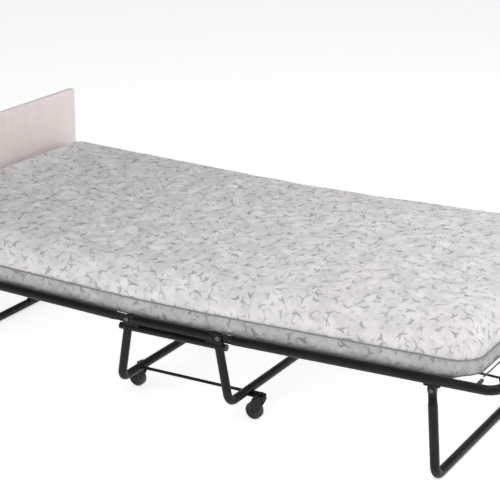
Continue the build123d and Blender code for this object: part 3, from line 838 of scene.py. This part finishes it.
# ============================================================== deck springs
def helix(name, bars, body, node):
    """Helical tension springs with hooked ends, one per bar (start, end, outer radius)."""
    verts, faces = [], []
    wire = 0.00095
    sides = 6
    for p0, p1, r in bars:
        p0, p1 = np.array(p0), np.array(p1)
        ax = p1 - p0
        ln = np.linalg.norm(ax)
        ax /= ln
        u = np.cross(ax, [1.0, 0, 0])
        u /= np.linalg.norm(u)
        v = np.cross(ax, u)
        turns = max(6, int(ln * 0.74 / 0.0024))
        per = 9
        path = []
        hook = ln * 0.13
        path.append(p0)
        path.append(p0 + ax * hook * 0.5 + u * r * 0.2)
        n = turns * per
        for k in range(n + 1):
            t = k / n
            a = 2 * math.pi * turns * t
            rr = (r - wire) * min(1.0, 0.35 + 4 * t, 0.35 + 4 * (1 - t))
            path.append(p0 + ax * (hook + (ln - 2 * hook) * t) + (u * math.cos(a) + v * math.sin(a)) * rr)
        path.append(p1 - ax * hook * 0.5 + u * r * 0.2)
        path.append(p1)
        P = np.array(path)
        T = np.gradient(P, axis=0)
        T /= np.linalg.norm(T, axis=1, keepdims=True)
        N = np.cross(T, ax + 0.001)
        bad = np.linalg.norm(N, axis=1) < 1e-4
        N[bad] = u
        N /= np.linalg.norm(N, axis=1, keepdims=True)
        B = np.cross(T, N)
        base = len(verts)
        for i in range(len(P)):
            for s in range(sides):
                a = 2 * math.pi * s / sides
                verts.append(tuple(P[i] + (N[i] * math.cos(a) + B[i] * math.sin(a)) * wire))
        for i in range(len(P) - 1):
            for s in range(sides):
                a, b = base + i * sides + s, base + i * sides + (s + 1) % sides
                faces.append((a, b, b + sides, a + sides))
        faces.append(tuple(base + s for s in range(sides))[::-1])
        faces.append(tuple(base + (len(P) - 1) * sides + s for s in range(sides)))
    me = bpy.data.meshes.new(name)
    me.from_pydata(verts, [], faces)
    me.materials.append(M_WIRE)
    me.shade_smooth()
    o = bpy.data.objects.new(name, me)
    col.objects.link(o)
    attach(o, body)
    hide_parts(node)
    return o


def bars_of(node):
    """The spring bars of a CAD node, from its loose parts: their end centres and radius."""
    me = nodes[node].data
    co = np.array([v.co for v in me.vertices])
    key = np.round(co[:, 0] / 0.03).astype(int)
    out = []
    parent = list(range(len(co)))

    def find(a):
        while parent[a] != a:
            parent[a] = parent[parent[a]]
            a = parent[a]
        return a

    for e in me.edges:
        a, b = find(e.vertices[0]), find(e.vertices[1])
        if a != b:
            parent[a] = b
    # vertices at one place are one vertex
    seen = {}
    for i, c in enumerate(np.round(co, 5)):
        k = tuple(c)
        if k in seen:
            a, b = find(i), find(seen[k])
            if a != b:
                parent[a] = b
        else:
            seen[k] = i
    groups = {}
    for i in range(len(co)):
        groups.setdefault(find(i), []).append(i)
    for ids in groups.values():
        c = co[ids]
        lo, hi = c.min(0), c.max(0)
        y0, y1 = lo[1], hi[1]
        if y1 < 0:
            y0, y1 = y1, y0
        x, z = (lo[0] + hi[0]) / 2, (lo[2] + hi[2]) / 2
        out.append(((x, y0, z), (x, y1, z), (hi[2] - lo[2]) / 2))
    return sorted(out)


for which, body in (("head", "head_deck"), ("foot", "foot_deck"), ("centre", "carriage")):
    helix("helical_springs_" + which, bars_of("deck_springs_" + which), body, "deck_springs_" + which)


# ===================================================================== stage
def add_stage():
    me = bpy.data.meshes.new("studio_floor")
    # wide round floor, turned up softly far off on every side
    n = 72
    prof = [(0.0, 0.0), (4.0, 0.0), (24.0, 0.0)]
    for k in range(1, 13):
        a = k / 12 * math.pi / 2
        prof.append((24.0 + 5.0 * math.sin(a), 5.0 * (1 - math.cos(a))))
    prof.append((29.0, 8.0))
    verts = [(0.0, 0.0, -0.0002)]
    for r, z in prof[1:]:
        verts += [(r * math.cos(2 * math.pi * k / n), r * math.sin(2 * math.pi * k / n), z - 0.0002) for k in range(n)]
    faces = [(0, 1 + k, 1 + (k + 1) % n) for k in range(n)]
    for i in range(len(prof) - 2):
        a, b = 1 + i * n, 1 + (i + 1) * n
        faces += [(a + k, b + k, b + (k + 1) % n, a + (k + 1) % n) for k in range(n)]
    me.from_pydata(verts, [], faces)
    me.shade_smooth()
    m, nt, b = new_mat("studio_white")
    b.inputs["Base Color"].default_value = (0.93, 0.93, 0.93, 1)
    b.inputs["Roughness"].default_value = 0.9
    b.inputs["Specular IOR Level"].default_value = 0.1
    b.inputs["Emission Color"].default_value = (1.0, 1.0, 1.0, 1)
    b.inputs["Emission Strength"].default_value = 0.66
    me.materials.append(m)
    o = bpy.data.objects.new("studio_floor", me)
    col.objects.link(o)


YAW = math.radians(29.5748)
PITCH = math.radians(18.7485)
SHIFT = XH + 0.940  # the row frame against the mattress middle
add_stage()

cam = bpy.data.cameras.new("camera")
cam.sensor_width = 36.0
cam.lens = 36.0 * 1591.2 / 500.0
cam.clip_end = 60.0
co = bpy.data.objects.new("camera", cam)
col.objects.link(co)
co.location = (2.2252 + SHIFT, -3.8609, 1.8332)
fw = Vector((-math.sin(YAW) * math.cos(PITCH), math.cos(YAW) * math.cos(PITCH), -math.sin(PITCH)))
co.rotation_euler = fw.to_track_quat("-Z", "Y").to_euler()
bpy.context.scene.camera = co


def area(name, loc, target, size, power, color=(1, 1, 1)):
    l = bpy.data.lights.new(name, "AREA")
    l.shape = "RECTANGLE"
    l.size, l.size_y = size
    l.energy = power
    l.color = color
    o = bpy.data.objects.new(name, l)
    col.objects.link(o)
    o.location = loc
    o.rotation_euler = (Vector(target) - Vector(loc)).to_track_quat("-Z", "Y").to_euler()
    return o


area("key_front", (1.0, -2.5, 2.6), (0.3, -0.2, 0.35), (3.2, 1.3), 24)
area("key_foot", (5.2, -0.8, 3.4), (-0.2, 0.0, 0.4), (3.0, 3.0), 32)
area("top_foot", (1.2, 0.1, 2.4), (1.05, 0.1, 0.4), (1.5, 1.5), 23)
area("top_soft", (0.8, 0.6, 5.5), (0.2, 0, 0.2), (5.0, 4.0), 38)

w = bpy.data.worlds.new("world")
bpy.context.scene.world = w
w.use_nodes = True
w.node_tree.nodes["Background"].inputs[0].default_value = (1, 1, 1, 1)
w.node_tree.nodes["Background"].inputs[1].default_value = 0.15
bpy.context.scene.view_settings.view_transform = "Standard"
